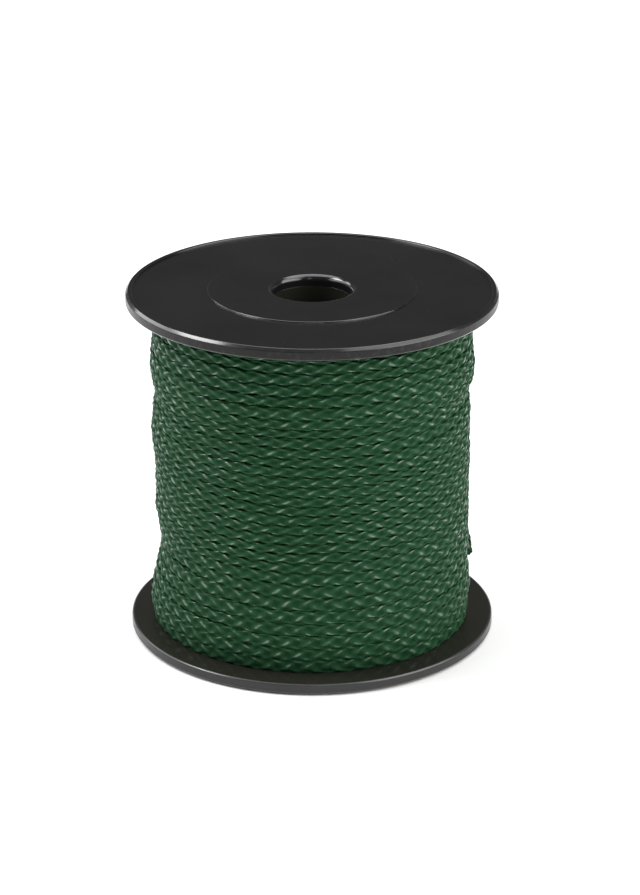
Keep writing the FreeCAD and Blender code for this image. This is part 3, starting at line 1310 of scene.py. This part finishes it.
@dataclass
class UnderLayers:
    """The layers beneath the last one: a ring whose outside shows the rows below. Sizes are millimetres."""

    winding: Winding
    barrel_radius: float
    low: float
    high: float
    barrel_gap: float = 0.1
    depth: float = 1.75
    row_width: float = 2.15
    row_rise: float = 0.45
    segments: int = 288
    levels: int = 200

    def build(self, material: bpy.types.Material) -> bpy.types.Object:
        """Makes the ring.

        The outside is the winding's own outside less a depth, plus a half ellipse for each row, whose
        place climbs by one row's width in a turn. Its ends and its inside are plain. A row shows a quarter
        turn of the line to each side of its middle.

        Args:
            material: the line's finish.

        Returns:
            The finished piece.
        """
        angle = (np.arange(self.segments + 1) * (FULL_TURN / self.segments))[None, :]
        level = np.linspace(self.low, self.high, self.levels)[:, None]
        row = (level - self.low) / self.row_width - angle / FULL_TURN
        across = 2 * (row - np.floor(row)) - 1
        ridge = self.row_rise * np.sqrt(np.maximum(1 - across * across, 0.0))
        outside = self.winding.surface_radius(angle, level) - self.depth - self.row_rise + ridge
        inside = np.full((1, self.segments + 1), self.barrel_radius + self.barrel_gap)
        radius = np.concatenate([inside, outside, inside])
        height = np.concatenate([[[self.low]], level, [[self.high]]])
        turn = np.zeros_like(radius)
        turn[1:-1] = across / 4
        braid = np.stack(self.winding.line.pattern.coordinates(turn, angle * self.winding.radius), axis=2)
        faces = grid_faces(self.levels + 2, self.segments, close_rows=True, close_columns=True)
        points = round_spool(angle, radius, height)[:, :-1].reshape(-1, 3)
        shape = Shape(points, [faces], [at_corners(np.concatenate([braid, braid[:1]]))])
        piece = shape.piece("line_layers_below", material, sharp_deg=60.0)
        return place_piece(piece, Slot.LINE, "line_inner_layers")


@dataclass(frozen=True)
class Waypoint:
    """A point of a loose length of line: azimuth in degrees, height and how far its middle is sunk."""

    azimuth: float
    level: float
    sunk: float


@dataclass
class LooseEnd:
    """The line's outer end, which comes out between two rows and lies over them, in millimetres."""

    winding: Winding
    line: Line
    half_width: float = 1.05
    half_height: float = 0.85
    stations: int = 96
    waypoints: tuple[Waypoint, ...] = (
        Waypoint(131.0, 23.2, 2.6),
        Waypoint(122.0, 22.3, 2.0),
        Waypoint(113.0, 20.9, 0.9),
        Waypoint(105.0, 19.3, 0.25),
        Waypoint(97.0, 17.4, 0.0),
        Waypoint(88.5, 15.4, -0.05),
    )

    def build(self, material: bpy.types.Material) -> bpy.types.Object:
        """Makes the loose end along a smooth curve near its waypoints.

        The curve is the waypoints' cubic blend: each station is a weighted sum of four neighbours with the
        weights of a uniform cubic spline. A mark beyond each end makes the curve reach the last waypoints.

        Args:
            material: the line's finish.

        Returns:
            The finished piece.
        """
        marks = np.array([(math.radians(w.azimuth), w.level, w.sunk) for w in self.waypoints])
        marks = np.concatenate([2 * marks[:1] - marks[1:2], marks, 2 * marks[-1:] - marks[-2:-1]])
        spans = len(marks) - 3
        time = np.linspace(0, spans, self.stations)
        span = np.minimum(time.astype(int), spans - 1)
        t = (time - span)[:, None]
        weights = [(1 - t) ** 3, 3 * t ** 3 - 6 * t ** 2 + 4, -3 * t ** 3 + 3 * t ** 2 + 3 * t + 1, t ** 3]
        azimuth, level, sunk = (sum(weight * marks[span + i] for i, weight in enumerate(weights)) / 6).T
        centre = round_spool(azimuth, self.winding.surface_radius(azimuth, level) - sunk, level)
        outward = round_spool(azimuth, 1.0, 0.0)
        shape = self.line.even_tube(centre, outward, self.half_width, self.half_height)
        return place_piece(shape.piece("line_loose_end", material, sharp_deg=60.0), Slot.LINE)


@dataclass
class StopperKnot:
    """The knot at the line's inner end, behind the hole in the barrel, and its tail out to the layers.

    Sizes are millimetres and the opening, which the knot's two ends leave between them, is in radians.
    """

    line: Line
    centre: tuple[float, float, float]
    anchor: tuple[float, float, float]
    loop_radius: float = 0.82
    swing: float = 0.62
    rise: float = 0.95
    opening: float = 0.35
    half_width: float = 0.80
    stations: int = 220
    tail_stations: int = 40
    smoothing: int = 6
    section_way: tuple[float, float, float] = (0.3, 0.2, 1.0)

    def build(self, material: bpy.types.Material) -> bpy.types.Object:
        """Makes the knot and its tail.

        The knot's path is a trefoil. Its place across is the loop's radius times the sine of an angle, plus
        twice the swing times the sine of the double angle. Its height is the same with cosines and less for
        plus, and its depth is less the rise times the sine of the triple angle. The tail is a straight run
        from its end. Each point of both then becomes the mean of its neighbours, as many on each side as
        the smoothing says.

        Args:
            material: the line's finish.

        Returns:
            The finished piece.
        """
        angle = np.linspace(self.opening, FULL_TURN - self.opening, self.stations)
        across = self.loop_radius * np.sin(angle) + 2 * self.swing * np.sin(2 * angle)
        upright = self.loop_radius * np.cos(angle) - 2 * self.swing * np.cos(2 * angle)
        knot = np.stack([-self.rise * np.sin(3 * angle), across, upright], axis=1) + np.array(self.centre)
        share = np.linspace(0, 1, self.tail_stations)[1:, None]
        tail = knot[-1] + (np.array(self.anchor) - knot[-1]) * share
        run = np.concatenate([knot, tail])
        run = np.pad(run, ((self.smoothing, self.smoothing), (0, 0)), mode="edge")
        window = 2 * self.smoothing + 1
        sums = np.cumsum(np.concatenate([np.zeros((1, 3)), run]), axis=0)
        centre = (sums[window:] - sums[:-window]) / window
        outward = np.broadcast_to(np.array(self.section_way), centre.shape)
        shape = self.line.even_tube(centre, outward, self.half_width, self.half_width)
        piece = shape.piece("line_stopper_knot", material, sharp_deg=60.0)
        return place_piece(piece, Slot.LINE, "line_start_knot")


# Studio


@dataclass(frozen=True)
class SoftSun:
    """Even soft light from far above. Angles are degrees, and the strength is watts a square metre."""

    name: str = "overhead"
    azimuth: float = 180.0
    elevation: float = 76.0
    distance: float = 2.0
    spread: float = 58.0
    strength: float = 2.0


@dataclass(frozen=True)
class SoftBox:
    """A soft lamp that looks at the spool. Angles are degrees, sizes are metres, and the power is watts."""

    name: str
    azimuth: float
    elevation: float
    distance: float
    width: float
    height: float
    power: float
    colour: tuple[float, float, float] = (1.0, 1.0, 1.0)


@dataclass
class Studio:
    """Camera, lamps, surroundings and floor.

    The camera's target and distance, its sensor and the gap that keeps the floor just under the spool are
    millimetres. The floor's size and the camera's clipping distances are metres.
    """

    target_level: float = 38.59
    distance: float = 633.2
    elevation: float = 21.45
    focal_pixels: float = 3052.0
    picture_width: int = 640
    picture_height: int = 895
    object_centre_pixel: float = 312.1
    sensor: float = 36.0
    clipping: Span = (0.01, 20.0)
    floor_size: float = 30.0
    floor_gap: float = 0.02
    floor_tones: Span = (0.95, 0.97)
    floor_clouds_per_mm: float = 0.01
    floor_roughness: float = 0.9
    floor_specular: float = 0.1
    room_tones: Span = (0.05, 0.09)
    room_span: Span = (-0.6, 0.5)
    lamps: tuple[SoftBox, ...] = (
        SoftBox("key_left", -98.0, 50.0, 0.90, 0.40, 0.28, 4.4, (1.0, 0.99, 1.0)),
        SoftBox("low_left", -84.0, 30.0, 0.90, 0.90, 0.40, 2.8, (1.0, 0.99, 1.0)),
        SoftBox("back_left", -128.0, 28.0, 0.90, 0.34, 0.30, 1.1),
        SoftBox("front_spark", 8.0, 34.0, 1.00, 0.16, 0.40, 0.25),
        SoftBox("top_right", 80.0, 56.0, 1.00, 0.80, 0.60, 3.4, (1.0, 1.0, 0.98)),
        SoftBox("side_right", 68.0, 27.0, 1.00, 1.10, 0.56, 7.4, (1.0, 1.0, 0.98)),
    )
    sun: SoftSun = field(default_factory=SoftSun)

    def aim(self, thing: bpy.types.Object, azimuth: float, elevation: float, distance: float) -> None:
        """Puts a thing round the spool's middle, looking at it, and adds it to the scene.

        Args:
            thing: a lamp or the camera.
            azimuth: degrees from the viewer's side.
            elevation: degrees above the level.
            distance: metres from the middle.
        """
        turn, rise = math.radians(azimuth), math.radians(elevation)
        away = Vector((math.cos(rise) * math.sin(turn), -math.cos(rise) * math.cos(turn), math.sin(rise)))
        thing.location = Vector((0.0, 0.0, self.target_level * MM)) + away * distance
        thing.rotation_euler = away.to_track_quat("Z", "Y").to_euler()
        bpy.context.scene.collection.objects.link(thing)

    def camera(self) -> None:
        """The photograph's viewpoint."""
        data = bpy.data.cameras.new("photo_camera")
        data.sensor_width = self.sensor
        data.lens = self.focal_pixels / self.picture_height * self.sensor
        data.shift_x = (self.picture_width / 2 - self.object_centre_pixel) / self.picture_height
        data.clip_start, data.clip_end = self.clipping
        camera = bpy.data.objects.new("photo_camera", data)
        self.aim(camera, 0.0, self.elevation, self.distance * MM)
        bpy.context.scene.camera = camera

    def light(self) -> None:
        """The soft lamps."""
        for lamp in self.lamps:
            data = bpy.data.lights.new(lamp.name, "AREA")
            data.shape = "RECTANGLE"
            data.size = lamp.width
            data.size_y = lamp.height
            data.energy = lamp.power
            data.color = lamp.colour
            self.aim(bpy.data.objects.new(lamp.name, data), lamp.azimuth, lamp.elevation, lamp.distance)
        sun = self.sun
        data = bpy.data.lights.new(sun.name, "SUN")
        data.energy = sun.strength
        data.angle = math.radians(sun.spread)
        self.aim(bpy.data.objects.new(sun.name, data), sun.azimuth, sun.elevation, sun.distance)

    def room(self) -> None:
        """The plain dim surroundings, darker on the viewer's side than behind the spool."""
        world = bpy.data.worlds.new("studio_room")
        world.use_nodes = True
        bench = Bench(world.node_tree)
        back = bench.part(bench.node("ShaderNodeTexCoord", output="Generated"), "Y")
        tone = bench.blend(bench.step(back, *self.room_span), *map(grey, self.room_tones))
        glow = bench.node("ShaderNodeBackground", {}, {"Color": tone, "Strength": 1.0})
        bench.node("ShaderNodeOutputWorld", {}, {"Surface": glow})
        bpy.context.scene.world = world

    def floor(self) -> None:
        """A plain pale floor."""
        material, bench = new_material("pale_floor")
        clouds = bench.noise(bench.millimetres(), self.floor_clouds_per_mm, detail=2.0)
        bench.surface({"Base Color": bench.blend(clouds, *map(grey, self.floor_tones)),
                       "Roughness": self.floor_roughness, "Specular IOR Level": self.floor_specular})
        half = self.floor_size / 2 / MM
        low = -self.floor_gap
        corners = np.array([(-half, -half, low), (half, -half, low), (half, half, low), (-half, half, low)])
        Shape(corners, [np.array([[0, 1, 2, 3]])]).piece("pale_floor", material, sharp_deg=30.0)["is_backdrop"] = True


def box_mm(node: str) -> tuple[np.ndarray, np.ndarray]:
    """A CAD node's lowest and highest corners, in millimetres."""
    low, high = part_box(node)
    return np.array(low) / MM, np.array(high) / MM


def main() -> None:
    """Builds and dresses every piece, then sets up floor, light and camera."""
    logging.basicConfig(level=logging.INFO, format="%(name)s: %(message)s")
    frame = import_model()
    cad_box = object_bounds()
    radius, height = cad_box[1].x / MM, cad_box[1].z / MM
    mounts = {mount["name"]: mount for mount in frame["record"]["mounts"]}
    bore = mounts["bore"]["dims"]["r_mm"]

    plastic = MouldedBlack(radius, Flange.hub_radius).make()
    # Painted fill light: the lower flange and the sleeve take a lighter, brownish copy of the plastic for these
    # shaded parts, with a dust tint.
    dust_and_painted_fill = DustAndPaintedFillBlack(radius, Flange.hub_radius).make()
    braid = BraidedGreen()
    green = braid.make()

    pieces = [Flange(End.LOWER, radius, height, bore).build(dust_and_painted_fill),
              Flange(End.UPPER, radius, height, bore).build(plastic)]
    sleeve_low, sleeve_high = box_mm("bore_sleeve")
    pieces.append(Sleeve(bore, sleeve_high[0], sleeve_low[2], sleeve_high[2]).build(dust_and_painted_fill))
    barrel = frame["nodes"]["winding_barrel"]
    barrel.data.materials.clear()
    barrel.data.materials.append(plastic)
    barrel_low, barrel_high = box_mm("winding_barrel")
    log.info("winding_barrel: kept, in plastic")

    winding = Winding(Line(braid.pattern), barrel_low[2], barrel_high[2])
    pieces += winding.build(green)
    layers_low, layers_high = box_mm("line_inner_layers")
    pieces.append(UnderLayers(winding, barrel_high[0], layers_low[2], layers_high[2]).build(green))
    loose_line = Line(braid.pattern, sides=28, outward_share=0.0)
    pieces.append(LooseEnd(winding, loose_line).build(green))
    knot_low, knot_high = box_mm("line_start_knot")
    knot_radius, knot_level = (knot_high[2] - knot_low[2]) / 2, (knot_high[2] + knot_low[2]) / 2
    pieces.append(StopperKnot(loose_line, centre=(knot_low[0] + knot_radius, 0.0, knot_level),
                              anchor=(knot_high[0], 0.0, knot_level)).build(green))
    log.info("%d new pieces", len(pieces))

    studio = Studio()
    studio.floor()
    studio.light()
    studio.room()
    studio.camera()
    bpy.context.scene.view_settings.view_transform = "Standard"
    ({"cad": [list(corner) for corner in cad_box],
               "visual": [list(corner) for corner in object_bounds()]})


if __name__ == "__main__":
    main()
